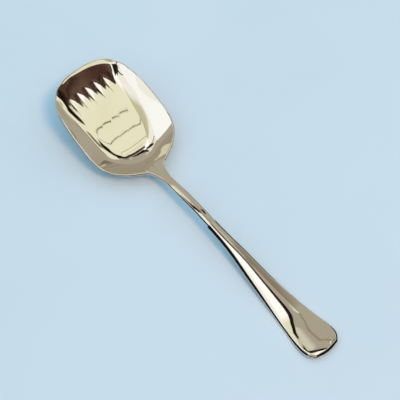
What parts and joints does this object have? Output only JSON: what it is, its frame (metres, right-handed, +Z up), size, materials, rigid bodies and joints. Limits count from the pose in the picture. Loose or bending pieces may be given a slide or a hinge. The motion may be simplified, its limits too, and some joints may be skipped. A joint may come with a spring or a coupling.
{
  "type": "rice serving spoon",
  "caption": "Polished steel rice serving spoon with a broad square-fronted shovel bowl, folded side walls, a slim shank and a flat handle widening to a rounded end.",
  "frame": {"origin": "on the table plane, under the middle of the spoon's length, on its plane of symmetry", "axes": "+X from the bowl's front lip to the handle's end, +Y across the bowl, +Z up, with the spoon lying as it rests: on the heel of the bowl and the underside of the handle's end"},
  "size_m": [0.2284, 0.0584, 0.026],
  "materials": {
    "bowl_steel": "mirror-polished stainless steel with a slight warm cast and shallow press ripples in the floor",
    "handle_steel": "mirror-polished stainless steel, fine polishing lines along the length"
  },
  "bodies": {
    "root": {"bowl": "bowl_steel", "handle": "handle_steel"}
  },
  "joints": []
}
